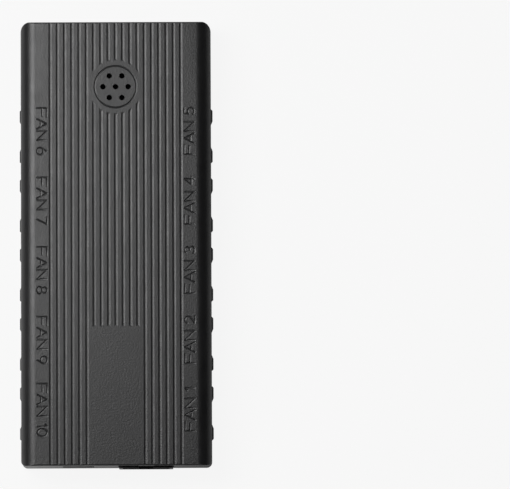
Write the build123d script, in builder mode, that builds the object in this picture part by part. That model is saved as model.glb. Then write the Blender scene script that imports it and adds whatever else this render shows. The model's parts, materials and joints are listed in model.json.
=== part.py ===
from build123d import *
import os

# Ten-port fan controller hub: a two-piece moulded housing round one circuit board, lying on its floor.
# X runs across the hub, Y along it towards the sounder grille and Z up, in millimetres.
# The origin is in the middle of the underside. The two sockets are in the near end, at -Y.

os.makedirs("parts", exist_ok=True)

# Housing
hub_length = 120.0
hub_width = 51.5
hub_height = 17.0
wall = 2.0
roof = 2.0
floor = 2.0
long_edge_radius = 4.0
end_edge_bevel = 0.4
foot_bevel = 0.6
near_corner_radius = 1.5
far_corner_radius = 2.5

# Tongue of the bottom cover, which slips inside the foot of the top cover
tongue_height = 1.2
tongue_thickness = 0.9
tongue_clearance = 0.1

# Grooves along the top: the middle ones stop round the grille and short of the near end
groove_count = 19
short_groove_count = 7
groove_pitch = 1.96
groove_width = 0.96
groove_bottom = 0.2
groove_depth = 0.09
groove_run_out = 0.4
plain_field_length = 37.5

# Sounder grille: a flush disc inside a ring engraved as a V
grille_inset = 17.6
grille_clear_radius = 7.2
ring_radius = 5.65
ring_width = 0.6
ring_depth = 0.09
sound_hole_diameter = 1.5
sound_hole_circle_diameter = 6.8
sound_hole_count = 6

# Circuit board
board_thickness = 1.6
board_rise = 2.4
board_side_clearance = 1.25
board_end_clearance = 1.0
board_corner_clearance = 0.4
board_hole_clearance = 0.08
sill_clearance = 0.2

# Fan ports: right-angle headers with a two-tab locking wall under the pins
ports_per_side = 5
port_gap = 3.6
port_end_margin = 6.88
port_side_clearance = 0.38
port_lintel = 3.4
port_cut_depth = 3.0
pins_per_port = 6
pin_pitch = 2.54
pin_side = 0.64
pin_fit = 0.02
pin_height = 3.0
pin_recess = 0.75
pin_tail = 1.4
tail_setback = 1.0
plug_depth = 6.75
header_depth = 2.8
header_height = 6.2
tab_width = 5.2
tab_thickness = 1.4
tab_proud = 0.45
tab_shelf = 3.0
tab_corner = 0.7
tab_inner_slope = 1.7
tab_lead_in = 0.5

# Power socket in the near end, right of the middle
power_inset = 17.85
power_width = 14.6
power_headroom = 1.0
power_depth = 7.4
power_proud = 0.6
power_wall = 1.0
power_back = 1.8
power_key_width = 4.0
power_key_depth = 3.0
power_pin_count = 4
power_pin_pitch = 3.0
power_pin_side = 1.0
power_pin_height = 2.3
power_pin_length = 4.0

# Sync socket in the near end, left of the middle
sync_inset = 15.35
sync_width = 8.0
sync_height = 5.6
sync_depth = 6.4
sync_recess = 0.4
sync_wall = 0.55
sync_back = 1.6
sync_pin_count = 3
sync_pin_pitch = 2.0
sync_pin_side = 0.5
sync_pin_height = 2.8
sync_pin_length = 2.0
socket_clearance = 0.2

# Two screws up through the floor into bosses in the near corners of the top cover
boss_side_inset = 3.85
boss_end_inset = 4.1
boss_side = 4.6
boss_gap = 0.1
post_side = 6.0
pilot_diameter = 2.1
pilot_spare = 0.8
screw_core_diameter = 2.0
screw_length = 10.0
screw_head_diameter = 4.0
screw_head_height = 1.6
screw_hole_diameter = 2.9
recess_diameter = 4.6
recess_depth = 2.4

# Two hooks on the bottom cover that catch on shelves inside the far wall of the top cover
hook_side_inset = 5.0
hook_width = 4.0
hook_thickness = 1.4
hook_height = 8.8
hook_barb = 0.75
hook_barb_height = 1.6
hook_lead_in = 1.2
hook_clearance = 0.15
shelf_reach = 1.2
shelf_thickness = 1.6

# Ribs on the floor that carry the board, and the stubs in the top cover that clamp it on them
rib_count = 4
rib_near_inset = 18.5
rib_far_inset = 8.5
rib_length = 24.0
rib_thickness = 1.6
stub_spread = 21.0
stub_width = 3.0
clamp_clearance = 0.05

# Sounder under the grille
buzzer_diameter = 12.0
buzzer_headroom = 2.0
buzzer_hole_diameter = 2.2
buzzer_hole_depth = 1.5
buzzer_leg_pitch = 7.6
buzzer_leg_side = 0.6

# Chips and power parts: place across, distance from the near end, and size
chip_corner = 0.6
mcu_inset = 65.0
mcu_side = 7.0
mcu_height = 1.0
radio_far_inset = 6.4
radio_side = 4.0
radio_height = 0.9
crystal_far_inset = 29.5
crystal_length = 11.4
crystal_width = 4.6
crystal_height = 3.6
crystal_base = 0.9
capacitor_inset = 50.0
capacitor_spread = 9.0
capacitor_diameter = 6.3
capacitor_height = 5.4
capacitor_base = 6.6
capacitor_base_height = 0.8
capacitor_corner = 1.2
inductor_inset = 39.0
inductor_side = 7.0
inductor_height = 4.0
inductor_corner = 0.8
transistor_inset = 28.0
transistor_width = 6.6
transistor_length = 6.1
transistor_height = 2.3
transistor_tab_width = 5.3
transistor_tab_reach = 1.2
transistor_tab_thickness = 0.5
transistor_leg_pitch = 4.56
transistor_leg_width = 0.8
transistor_leg_reach = 2.6
supply_inset = 16.5
supply_spread = 10.0
regulator_width = 6.5
regulator_length = 3.5
regulator_height = 1.6
regulator_tab_width = 3.0
regulator_leg_pitch = 2.3
regulator_leg_width = 0.7
regulator_leg_reach = 1.7
fuse_length = 7.3
fuse_width = 5.1
fuse_height = 1.3
fuse_end_cap = 1.0
fuse_waist = 0.2

# Heights and faces that the pieces share
near_end = -hub_length / 2
far_end = hub_length / 2
side_face = hub_width / 2
ceiling = hub_height - roof
board_bottom = floor + board_rise
board_top = board_bottom + board_thickness
split_height = board_top - sill_clearance
cavity_width = hub_width - 2 * wall
cavity_length = hub_length - 2 * wall
board_width = cavity_width - 2 * board_side_clearance
board_length = cavity_length - 2 * board_end_clearance

header_width = pins_per_port * pin_pitch
port_pitch = header_width + port_gap
port_width = header_width + 2 * port_side_clearance
port_top = hub_height - port_lintel
first_port_y = near_end + port_end_margin + header_width / 2
port_middle_y = first_port_y + port_pitch * (ports_per_side - 1) / 2
tail_setback_from_face = plug_depth + header_depth + tail_setback

power_x = side_face - power_inset
power_mouth = near_end - power_proud
power_height = ceiling - power_headroom - board_top
sync_x = -side_face + sync_inset
sync_mouth = near_end + sync_recess
grille_y = far_end - grille_inset
boss_x = side_face - boss_side_inset
boss_y = near_end + boss_end_inset
boss_slot = boss_side + 2 * tongue_clearance
hook_x = side_face - hook_side_inset
hook_face = far_end - wall - shelf_reach - hook_clearance
shelf_top = floor + hook_height - hook_barb_height - hook_clearance
rib_pitch = (hub_length - rib_near_inset - rib_far_inset) / (rib_count - 1)
rib_middle_y = (near_end + rib_near_inset + far_end - rib_far_inset) / 2


def housing_block(width, length, low, high, edge_radius):
    """Block along Y with a round on its two long top edges."""
    with BuildPart() as block:
        with BuildSketch(Plane.XZ) as section:
            with Locations((0, (low + high) / 2)):
                Rectangle(width, high - low)
            fillet(section.vertices().group_by(Axis.Y)[-1], edge_radius)
        extrude(amount=length / 2, both=True)
    return block


def finish(builder, name):
    """Label a finished piece and write it to its own file."""
    builder.part.label = name
    export_step(builder.part, f"parts/{name}.step")


# Outside of the closed housing: long edges rounded, upright corners rounded, ends and foot bevelled
with BuildPart() as outer_form:
    add(housing_block(hub_width, hub_length, 0, hub_height, long_edge_radius).part)
    with BuildSketch(Plane.YZ) as side_view:
        with Locations((0, hub_height / 2)):
            Rectangle(hub_length, hub_height)
        chamfer(side_view.vertices().group_by(Axis.Y)[-1], end_edge_bevel)
    extrude(amount=hub_width / 2, both=True, mode=Mode.INTERSECT)
    with BuildSketch() as plan:
        Rectangle(hub_width, hub_length)
        fillet(plan.vertices().group_by(Axis.Y)[0], near_corner_radius)
        fillet(plan.vertices().group_by(Axis.Y)[-1], far_corner_radius)
    extrude(amount=hub_height, mode=Mode.INTERSECT)
    chamfer(outer_form.faces().sort_by(Axis.Z)[0].edges(), foot_bevel)

# Space inside it
inner_form = housing_block(cavity_width, cavity_length, floor, ceiling, long_edge_radius - wall)

# Cutters for the grooves: a shallow flared section, drawn past the surface so that it cuts clean
groove_flare = (groove_width - groove_bottom) / 2
field_end = near_end + plain_field_length
half_grooves = groove_count // 2
half_short = short_groove_count // 2
groove_middles = [step * groove_pitch for step in range(-half_grooves, half_grooves + 1)]
short_middles = groove_middles[half_grooves - half_short:half_grooves + half_short + 1]
long_middles = [middle for middle in groove_middles if middle not in short_middles]

with BuildSketch() as groove_section:
    with BuildLine():
        Polyline(
            (-groove_bottom / 2, -groove_depth),
            (groove_bottom / 2, -groove_depth),
            (groove_width / 2 + groove_flare, groove_depth),
            (-groove_width / 2 - groove_flare, groove_depth),
            close=True,
        )
    make_face()

with BuildPart() as long_grooves:
    with BuildSketch(Plane.XZ):
        with Locations(*[(middle, hub_height) for middle in long_middles]):
            add(groove_section.sketch)
    extrude(amount=hub_length, both=True)

with BuildPart() as short_grooves:
    with BuildSketch(Plane.XZ.offset(-far_end - wall)):
        with Locations(*[(middle, hub_height) for middle in short_middles]):
            add(groove_section.sketch)
    extrude(amount=hub_length)
    # each one runs out in a slope at the plain field
    with BuildSketch(Plane.YZ):
        with BuildLine():
            Polyline(
                (field_end + groove_run_out, hub_height - groove_depth),
                (far_end + wall, hub_height - groove_depth),
                (far_end + wall, hub_height + groove_depth),
                (field_end - groove_run_out, hub_height + groove_depth),
                close=True,
            )
        make_face()
    extrude(amount=hub_width / 2, both=True, mode=Mode.INTERSECT)
    # and it stops round the grille in the same slope
    with Locations((0, grille_y, hub_height)):
        Cone(
            grille_clear_radius + 2 * groove_run_out,
            grille_clear_radius - 2 * groove_run_out,
            4 * groove_depth,
            mode=Mode.SUBTRACT,
        )

# Cutter for the ring: a V turned about the middle of the grille
with BuildPart() as ring_groove:
    with BuildSketch(Plane((0, grille_y, hub_height), x_dir=(1, 0, 0), z_dir=(0, -1, 0))):
        with BuildLine():
            Polyline(
                (ring_radius, -ring_depth),
                (ring_radius + ring_width, ring_depth),
                (ring_radius - ring_width, ring_depth),
                close=True,
            )
        make_face()
    revolve(axis=Axis((0, grille_y, 0), (0, 0, 1)))

# Top cover: roof and walls, with the grooves, the grille, the port notches and what clamps the board
with BuildPart() as top_cover:
    add(outer_form.part)
    add(inner_form.part, mode=Mode.SUBTRACT)
    split(bisect_by=Plane.XY.offset(split_height), keep=Keep.TOP)
    # rebate for the tongue
    with BuildSketch(Plane.XY.offset(split_height)):
        Rectangle(
            cavity_width + 2 * (tongue_thickness + tongue_clearance),
            cavity_length + 2 * (tongue_thickness + tongue_clearance),
        )
    extrude(amount=tongue_height + tongue_clearance, mode=Mode.SUBTRACT)
    # screw bosses, shelves for the hooks, and the stubs that clamp the board
    with BuildSketch(Plane.XY.offset(split_height + boss_gap)):
        with Locations((0, boss_y)):
            with GridLocations(2 * boss_x, 0, 2, 1):
                Rectangle(boss_side, boss_side)
    extrude(amount=ceiling - split_height - boss_gap)
    with BuildSketch(Plane.XY.offset(shelf_top)):
        with Locations((0, far_end - wall - shelf_reach / 2)):
            with GridLocations(2 * hook_x, 0, 2, 1):
                Rectangle(hook_width, shelf_reach)
    extrude(amount=-shelf_thickness)
    with BuildSketch(Plane.XY.offset(board_top + clamp_clearance)):
        with Locations((0, rib_middle_y)):
            with GridLocations(stub_spread, rib_pitch, 2, rib_count):
                Rectangle(stub_width, rib_thickness)
    extrude(amount=ceiling - board_top - clamp_clearance)
    # pilot holes for the screws
    with BuildSketch(Plane.XY.offset(split_height)):
        with Locations((0, boss_y)):
            with GridLocations(2 * boss_x, 0, 2, 1):
                Circle(pilot_diameter / 2)
    extrude(amount=recess_depth + screw_length + pilot_spare - split_height, mode=Mode.SUBTRACT)
    # notches for the ten ports and for the two sockets, all open at the foot
    with BuildSketch(Plane.XY.offset(split_height)):
        with Locations((0, port_middle_y)):
            with GridLocations(hub_width, port_pitch, 2, ports_per_side):
                Rectangle(2 * port_cut_depth, port_width)
    extrude(amount=port_top - split_height, mode=Mode.SUBTRACT)
    with BuildSketch(Plane.XY.offset(split_height)):
        with Locations((power_x, near_end)):
            Rectangle(power_width + 2 * socket_clearance, 2 * wall)
    extrude(amount=board_top + power_height + socket_clearance - split_height, mode=Mode.SUBTRACT)
    with BuildSketch(Plane.XY.offset(split_height)):
        with Locations((sync_x, near_end)):
            Rectangle(sync_width + 2 * socket_clearance, 2 * wall)
    extrude(amount=board_top + sync_height + socket_clearance - split_height, mode=Mode.SUBTRACT)
    # grooves, ring and sound holes in the top face
    add(long_grooves.part, mode=Mode.SUBTRACT)
    add(short_grooves.part, mode=Mode.SUBTRACT)
    add(ring_groove.part, mode=Mode.SUBTRACT)
    with Locations((0, grille_y, hub_height)):
        Hole(sound_hole_diameter / 2, roof)
        with PolarLocations(sound_hole_circle_diameter / 2, sound_hole_count):
            Hole(sound_hole_diameter / 2, roof)
finish(top_cover, "top_cover")

# Bottom cover: floor pan with its tongue, the ribs under the board, the screw posts and the hooks
with BuildPart() as bottom_cover:
    add(outer_form.part)
    add(inner_form.part, mode=Mode.SUBTRACT)
    split(bisect_by=Plane.XY.offset(split_height), keep=Keep.BOTTOM)
    with BuildSketch(Plane.XY.offset(split_height)):
        Rectangle(cavity_width + 2 * tongue_thickness, cavity_length + 2 * tongue_thickness)
        Rectangle(cavity_width, cavity_length, mode=Mode.SUBTRACT)
        with Locations((0, port_middle_y)):
            with GridLocations(hub_width, port_pitch, 2, ports_per_side):
                Rectangle(2 * port_cut_depth, port_width + 2 * tongue_clearance, mode=Mode.SUBTRACT)
        with Locations((power_x, near_end)):
            Rectangle(power_width + 2 * socket_clearance, 2 * wall, mode=Mode.SUBTRACT)
        with Locations((sync_x, near_end)):
            Rectangle(sync_width + 2 * socket_clearance, 2 * wall, mode=Mode.SUBTRACT)
        with Locations((0, boss_y)):
            with GridLocations(2 * boss_x, 0, 2, 1):
                Rectangle(boss_slot, boss_slot, mode=Mode.SUBTRACT)
    extrude(amount=tongue_height)
    with BuildSketch(Plane.XY.offset(floor)):
        with Locations((0, rib_middle_y)):
            with GridLocations(0, rib_pitch, 1, rib_count):
                Rectangle(rib_length, rib_thickness)
    extrude(amount=board_rise)
    with BuildSketch(Plane.XY.offset(floor)):
        with Locations((0, boss_y)):
            with GridLocations(2 * boss_x, 0, 2, 1):
                Rectangle(post_side, post_side)
    extrude(amount=split_height - floor)
    with Locations(Plane((0, boss_y, 0), z_dir=(0, 0, -1))):
        with GridLocations(2 * boss_x, 0, 2, 1):
            CounterBoreHole(screw_hole_diameter / 2, recess_diameter / 2, recess_depth)
    with BuildSketch(*[Plane.YZ.offset(side * hook_x) for side in (-1, 1)]):
        with BuildLine():
            Polyline(
                (hook_face - hook_thickness, floor),
                (hook_face, floor),
                (hook_face, floor + hook_height - hook_barb_height),
                (hook_face + hook_barb, floor + hook_height - hook_barb_height),
                (hook_face + hook_barb, floor + hook_height - hook_lead_in),
                (hook_face + hook_barb - hook_lead_in, floor + hook_height),
                (hook_face - hook_thickness, floor + hook_height),
                close=True,
            )
        make_face()
    extrude(amount=hook_width / 2, both=True)
finish(bottom_cover, "bottom_cover")

# Circuit board: corners cut away round the screw posts and hooks, a square hole under each soldered pin
notch_x = boss_x - post_side / 2 - board_corner_clearance
notch_y = -boss_y - post_side / 2 - board_corner_clearance
power_tail_y = power_mouth + power_depth + tail_setback
sync_tail_y = sync_mouth + sync_depth + tail_setback
fan_pin_hole = pin_side + 2 * board_hole_clearance
power_pin_hole = power_pin_side + 2 * board_hole_clearance
sync_pin_hole = sync_pin_side + 2 * board_hole_clearance
buzzer_leg_hole = buzzer_leg_side + 2 * board_hole_clearance

with BuildPart() as circuit_board:
    with BuildSketch(Plane.XY.offset(board_bottom)):
        Rectangle(board_width, board_length)
        with GridLocations(board_width + 2 * notch_x, board_length + 2 * notch_y, 2, 2):
            Rectangle(board_width, board_length, mode=Mode.SUBTRACT)
        with Locations((0, port_middle_y)):
            with GridLocations(hub_width - 2 * tail_setback_from_face, port_pitch, 2, ports_per_side):
                with GridLocations(0, pin_pitch, 1, pins_per_port):
                    Rectangle(fan_pin_hole, fan_pin_hole, mode=Mode.SUBTRACT)
        with Locations((power_x, power_tail_y)):
            with GridLocations(power_pin_pitch, 0, power_pin_count, 1):
                Rectangle(power_pin_hole, power_pin_hole, mode=Mode.SUBTRACT)
        with Locations((sync_x, sync_tail_y)):
            with GridLocations(sync_pin_pitch, 0, sync_pin_count, 1):
                Rectangle(sync_pin_hole, sync_pin_hole, mode=Mode.SUBTRACT)
        with Locations((0, grille_y)):
            with GridLocations(buzzer_leg_pitch, 0, 2, 1):
                Rectangle(buzzer_leg_hole, buzzer_leg_hole, mode=Mode.SUBTRACT)
    extrude(amount=board_thickness)
finish(circuit_board, "circuit_board")


def pin_offsets(count, pitch):
    """Places of a row of pins, centred on its socket."""
    return [(number - (count - 1) / 2) * pitch for number in range(count)]


def bent_pins(place, count, pitch, side, height, tip, bend):
    """Row of square pins: they point out along the place's X, bend down behind it and end under the board."""
    uprights = [
        Plane(place.origin + place.y_dir * offset, x_dir=place.x_dir, z_dir=-place.y_dir)
        for offset in pin_offsets(count, pitch)
    ]
    with BuildPart() as pins:
        with BuildSketch(*uprights):
            with BuildLine():
                Polyline(
                    (bend - side / 2, -board_thickness - pin_tail),
                    (bend + side / 2, -board_thickness - pin_tail),
                    (bend + side / 2, height - side / 2),
                    (tip, height - side / 2),
                    (tip, height + side / 2),
                    (bend - side / 2, height + side / 2),
                    close=True,
                )
            make_face()
        extrude(amount=side / 2, both=True)
    return pins


def fan_header(place):
    """Header housing: a block that holds the pins, and a shelf with two locking tabs out through the port."""
    back_middle = place.origin - place.x_dir * (plug_depth + header_depth)
    facing = Plane(back_middle, x_dir=place.y_dir, z_dir=place.x_dir)
    shelf_middle = -plug_depth - header_depth / 2 + tab_shelf / 2
    tab_root = tab_shelf - plug_depth
    tab_outside = header_width / 2
    tab_inside = tab_outside - tab_width
    with BuildPart() as header:
        with BuildSketch(place):
            with Locations((-plug_depth - header_depth / 2, 0)):
                Rectangle(header_depth, header_width)
        extrude(amount=header_height)
        with BuildSketch(place):
            with Locations((shelf_middle, 0)):
                Rectangle(header_depth + tab_shelf, header_width)
            # one tab, with a long slope on its inner corner, and its mirror image
            with BuildLine():
                Polyline(
                    (tab_root, tab_inside),
                    (tab_proud - tab_corner, tab_inside),
                    (tab_proud, tab_inside + tab_inner_slope),
                    (tab_proud, tab_outside - tab_corner),
                    (tab_proud - tab_corner, tab_outside),
                    (tab_root, tab_outside),
                    close=True,
                )
            make_face()
            mirror(about=Plane.XZ)
        extrude(amount=tab_thickness)
        tips = header.faces().filter_by(lambda face: abs(face.normal_at().dot(place.x_dir) - 1) < 1e-6)
        tips = tips.sort_by(lambda face: face.center().dot(place.x_dir))[-2:]
        chamfer([tip.edges().sort_by(Axis.Z)[-1] for tip in tips], tab_lead_in)
        with BuildSketch(facing):
            with Locations((0, pin_height)):
                with GridLocations(pin_pitch, 0, pins_per_port, 1):
                    Rectangle(pin_side + 2 * pin_fit, pin_side + 2 * pin_fit)
        extrude(amount=header_depth, mode=Mode.SUBTRACT)
    return header


# Fan ports: 1 to 5 go up the right-hand side from the near end, 6 to 10 come back down the left
port_rows = [first_port_y + step * port_pitch for step in range(ports_per_side)]
right_places = [Plane((side_face, y, board_top), x_dir=(1, 0, 0)) for y in port_rows]
left_places = [Plane((-side_face, y, board_top), x_dir=(-1, 0, 0)) for y in reversed(port_rows)]

for number, place in enumerate(right_places + left_places, start=1):
    header = fan_header(place)
    finish(header, f"fan_header_{number}")
    pins = bent_pins(
        place, pins_per_port, pin_pitch, pin_side, pin_height, -pin_recess, -tail_setback_from_face
    )
    finish(pins, f"fan_pins_{number}")


def socket_shroud(middle, mouth, width, height, depth, skin, back, count, pitch, side, pin_level):
    """Socket housing: an open box along Y with its mouth outwards and a hole in its back for each pin."""
    back_face = mouth + depth
    with BuildPart() as shroud:
        with BuildSketch(Plane.XZ.offset(-back_face)):
            with Locations((middle, board_top + height / 2)):
                Rectangle(width, height)
        extrude(amount=depth)
        with BuildSketch(Plane.XZ.offset(-back_face + back)):
            with Locations((middle, board_top + height / 2)):
                Rectangle(width - 2 * skin, height - 2 * skin)
        extrude(amount=depth - back, mode=Mode.SUBTRACT)
        with BuildSketch(Plane.XZ.offset(-back_face)):
            with Locations((middle, board_top + pin_level)):
                with GridLocations(pitch, 0, count, 1):
                    Rectangle(side + 2 * pin_fit, side + 2 * pin_fit)
        extrude(amount=back, mode=Mode.SUBTRACT)
    return shroud


# Power socket, with a key slot in the top of its shroud
with BuildPart() as power_socket:
    add(
        socket_shroud(
            power_x,
            power_mouth,
            power_width,
            power_height,
            power_depth,
            power_wall,
            power_back,
            power_pin_count,
            power_pin_pitch,
            power_pin_side,
            power_pin_height,
        ).part
    )
    with BuildSketch(Plane.XY.offset(board_top + power_height)):
        with Locations((power_x, power_mouth)):
            Rectangle(power_key_width, 2 * power_key_depth)
    extrude(amount=-power_wall, mode=Mode.SUBTRACT)
finish(power_socket, "power_socket")

power_back_y = power_mouth + power_depth - power_back
power_place = Plane((power_x, power_back_y, board_top), x_dir=(0, -1, 0))
power_pins = bent_pins(
    power_place,
    power_pin_count,
    power_pin_pitch,
    power_pin_side,
    power_pin_height,
    power_pin_length,
    -power_back - tail_setback,
)
finish(power_pins, "power_pins")

# Sync socket
sync_socket = socket_shroud(
    sync_x,
    sync_mouth,
    sync_width,
    sync_height,
    sync_depth,
    sync_wall,
    sync_back,
    sync_pin_count,
    sync_pin_pitch,
    sync_pin_side,
    sync_pin_height,
)
finish(sync_socket, "sync_socket")

sync_back_y = sync_mouth + sync_depth - sync_back
sync_place = Plane((sync_x, sync_back_y, board_top), x_dir=(0, -1, 0))
sync_pins = bent_pins(
    sync_place,
    sync_pin_count,
    sync_pin_pitch,
    sync_pin_side,
    sync_pin_height,
    sync_pin_length,
    -sync_back - tail_setback,
)
finish(sync_pins, "sync_pins")

# Cover screws: cheese heads in the recesses of the floor, one group of two
with BuildPart() as one_screw:
    with BuildSketch(Plane.XY.offset(recess_depth)):
        Circle(screw_head_diameter / 2)
    extrude(amount=-screw_head_height)
    with BuildSketch(Plane.XY.offset(recess_depth)):
        Circle(screw_core_diameter / 2)
    extrude(amount=screw_length)

with BuildPart() as cover_screws:
    with Locations((0, boss_y)):
        with GridLocations(2 * boss_x, 0, 2, 1):
            add(one_screw.part)
finish(cover_screws, "cover_screws")

# Sounder, standing on its legs' shoulders on the board, with its outlet under the grille
with BuildPart() as buzzer:
    with BuildSketch(Plane.XY.offset(board_top)):
        with Locations((0, grille_y)):
            Circle(buzzer_diameter / 2)
    extrude(amount=ceiling - buzzer_headroom - board_top)
    with Locations((0, grille_y, ceiling - buzzer_headroom)):
        Hole(buzzer_hole_diameter / 2, buzzer_hole_depth)
finish(buzzer, "buzzer")

with BuildPart() as buzzer_legs:
    with BuildSketch(Plane.XY.offset(board_top)):
        with Locations((0, grille_y)):
            with GridLocations(buzzer_leg_pitch, 0, 2, 1):
                Rectangle(buzzer_leg_side, buzzer_leg_side)
    extrude(amount=-board_thickness - pin_tail)
finish(buzzer_legs, "buzzer_legs")


def leadless_chip(middle, side, height):
    """Flat moulded chip soldered to the board, with one corner cut off to mark its first contact."""
    with BuildPart() as chip:
        with BuildSketch(Plane.XY.offset(board_top)) as plan:
            with Locations(middle):
                Rectangle(side, side)
            chamfer(plan.vertices().group_by(Axis.X)[0].sort_by(Axis.Y)[0], chip_corner)
        extrude(amount=height)
    return chip


microcontroller = leadless_chip((0, near_end + mcu_inset), mcu_side, mcu_height)
finish(microcontroller, "microcontroller")

radio_receiver = leadless_chip((0, far_end - radio_far_inset), radio_side, radio_height)
finish(radio_receiver, "radio_receiver")

# Crystal: a flat metal can on a ceramic base
with BuildPart() as crystal:
    with BuildSketch(Plane.XY.offset(board_top)):
        with Locations((0, far_end - crystal_far_inset)):
            Rectangle(crystal_length, crystal_width)
    extrude(amount=crystal_base)
    with BuildSketch(Plane.XY.offset(board_top + crystal_base)):
        with Locations((0, far_end - crystal_far_inset)):
            Rectangle(crystal_length - crystal_base, crystal_width - crystal_base)
    extrude(amount=crystal_height - crystal_base)
finish(crystal, "crystal")

# Filter capacitors: a can on a square base with two corners cut off
for number, side in enumerate((-1, 1), start=1):
    with BuildPart() as capacitor:
        with BuildSketch(Plane.XY.offset(board_top)) as base:
            with Locations((side * capacitor_spread / 2, near_end + capacitor_inset)):
                Rectangle(capacitor_base, capacitor_base)
            chamfer(base.vertices().group_by(Axis.Y)[-1], capacitor_corner)
        extrude(amount=capacitor_base_height)
        with BuildSketch(Plane.XY.offset(board_top + capacitor_base_height)):
            with Locations((side * capacitor_spread / 2, near_end + capacitor_inset)):
                Circle(capacitor_diameter / 2)
        extrude(amount=capacitor_height - capacitor_base_height)
    finish(capacitor, f"filter_capacitor_{number}")

# Filter inductor: a shielded block with cut corners
with BuildPart() as inductor:
    with BuildSketch(Plane.XY.offset(board_top)) as plan:
        with Locations((0, near_end + inductor_inset)):
            Rectangle(inductor_side, inductor_side)
        chamfer(plan.vertices(), inductor_corner)
    extrude(amount=inductor_height)
finish(inductor, "filter_inductor")

# Transistor that switches the fans' power: moulded body on a metal tab, two legs
transistor_y = near_end + transistor_inset
with BuildPart() as transistor:
    with BuildSketch(Plane.XY.offset(board_top)):
        with Locations((0, transistor_y)):
            Rectangle(transistor_width, transistor_length)
    extrude(amount=transistor_height)
    with BuildSketch(Plane.XY.offset(board_top)):
        with Locations((0, transistor_y + (transistor_length + transistor_tab_reach) / 2)):
            Rectangle(transistor_tab_width, transistor_tab_reach)
        with Locations((0, transistor_y - (transistor_length + transistor_leg_reach) / 2)):
            with GridLocations(transistor_leg_pitch, 0, 2, 1):
                Rectangle(transistor_leg_width, transistor_leg_reach)
    extrude(amount=transistor_tab_thickness)
finish(transistor, "power_transistor")

# Voltage regulator: flat body with a wide tab on one side and three legs on the other
regulator_x = -supply_spread / 2
supply_y = near_end + supply_inset
with BuildPart() as regulator:
    with BuildSketch(Plane.XY.offset(board_top)):
        with Locations((regulator_x, supply_y)):
            Rectangle(regulator_width, regulator_length)
    extrude(amount=regulator_height)
    with BuildSketch(Plane.XY.offset(board_top)):
        with Locations((regulator_x, supply_y + (regulator_length + regulator_leg_reach) / 2)):
            Rectangle(regulator_tab_width, regulator_leg_reach)
        with Locations((regulator_x, supply_y - (regulator_length + regulator_leg_reach) / 2)):
            with GridLocations(regulator_leg_pitch, 0, 3, 1):
                Rectangle(regulator_leg_width, regulator_leg_reach)
    extrude(amount=transistor_tab_thickness)
finish(regulator, "voltage_regulator")

# Resettable fuse: a flat chip with a plated cap over each end
with BuildPart() as fuse:
    with BuildSketch(Plane.XY.offset(board_top)):
        with Locations((supply_spread / 2, supply_y)):
            Rectangle(fuse_length, fuse_width - 2 * fuse_waist)
            with GridLocations(fuse_length - fuse_end_cap, 0, 2, 1):
                Rectangle(fuse_end_cap, fuse_width)
    extrude(amount=fuse_height)
finish(fuse, "resettable_fuse")
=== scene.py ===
# %% [markdown]
# # A ten-port fan hub
# The hub is a flat black box that lies inside a computer case and shares power and a speed signal out to ten
# fans. Its solids come ready from the CAD model. This lesson gives them their finishes, cuts the port numbers
# into the top cover, turns the plain pins and screws into detailed ones, and lights the result as a small
# product on white paper.

# %% Load the CAD model
import json
import math

import bmesh
import bpy
from mathutils import Matrix, Vector


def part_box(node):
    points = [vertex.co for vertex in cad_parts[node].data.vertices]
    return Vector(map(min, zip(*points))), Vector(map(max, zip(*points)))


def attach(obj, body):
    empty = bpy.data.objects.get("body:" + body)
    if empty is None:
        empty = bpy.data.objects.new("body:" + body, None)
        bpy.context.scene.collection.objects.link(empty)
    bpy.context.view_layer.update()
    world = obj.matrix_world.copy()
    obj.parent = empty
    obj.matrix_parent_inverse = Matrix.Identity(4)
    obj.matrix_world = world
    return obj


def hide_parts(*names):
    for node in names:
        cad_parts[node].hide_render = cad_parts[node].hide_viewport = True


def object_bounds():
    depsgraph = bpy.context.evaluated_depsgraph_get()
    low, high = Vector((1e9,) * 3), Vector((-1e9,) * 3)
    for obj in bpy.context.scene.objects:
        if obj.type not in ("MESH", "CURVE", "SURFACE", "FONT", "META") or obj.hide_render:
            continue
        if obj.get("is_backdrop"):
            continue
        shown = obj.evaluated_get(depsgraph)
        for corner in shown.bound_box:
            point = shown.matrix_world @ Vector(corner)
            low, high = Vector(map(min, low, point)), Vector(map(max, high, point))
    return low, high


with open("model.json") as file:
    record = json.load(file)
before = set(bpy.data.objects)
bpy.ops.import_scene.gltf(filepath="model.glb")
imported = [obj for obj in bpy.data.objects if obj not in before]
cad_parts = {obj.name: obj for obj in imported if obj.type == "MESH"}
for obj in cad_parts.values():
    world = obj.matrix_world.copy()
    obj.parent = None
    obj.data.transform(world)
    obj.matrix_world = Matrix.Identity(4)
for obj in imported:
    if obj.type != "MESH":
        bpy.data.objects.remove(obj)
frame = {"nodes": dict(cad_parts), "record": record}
cad_low, cad_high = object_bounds()
nodes = frame["nodes"]
MM = 0.001
print("CAD nodes:", len(nodes), "box in mm:", [round(side / MM, 2) for side in cad_high - cad_low])

# %% [markdown]
# ## Colours and nodes
# A colour picker gives sRGB numbers, but shaders add and multiply light, which needs linear numbers, so one
# function converts each colour. Shader trees and Geometry Nodes trees are built the same way in Python, so one
# small function adds any node: it sets the node's own options, and feeds each socket with a number or with the
# output of another node.


# %% Two helpers for every tree
def linear(colour):
    """sRGB hex, as a colour picker gives it, to the linear red, green, blue and alpha of a shader."""
    shares = [int(colour[start:start + 2], 16) / 255 for start in (1, 3, 5)]
    return [s / 12.92 if s <= 0.04045 else ((s + 0.055) / 1.055) ** 2.4 for s in shares] + [1.0]


def add(tree, kind, inputs=None, **options):
    """Add a node to a tree, with its options, and its sockets by name or number."""
    made = tree.nodes.new(kind)
    for option, value in options.items():
        setattr(made, option, value)
    for socket, value in (inputs or {}).items():
        if isinstance(value, bpy.types.NodeSocket):
            tree.links.new(value, made.inputs[socket])
        else:
            made.inputs[socket].default_value = value
    return made


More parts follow.
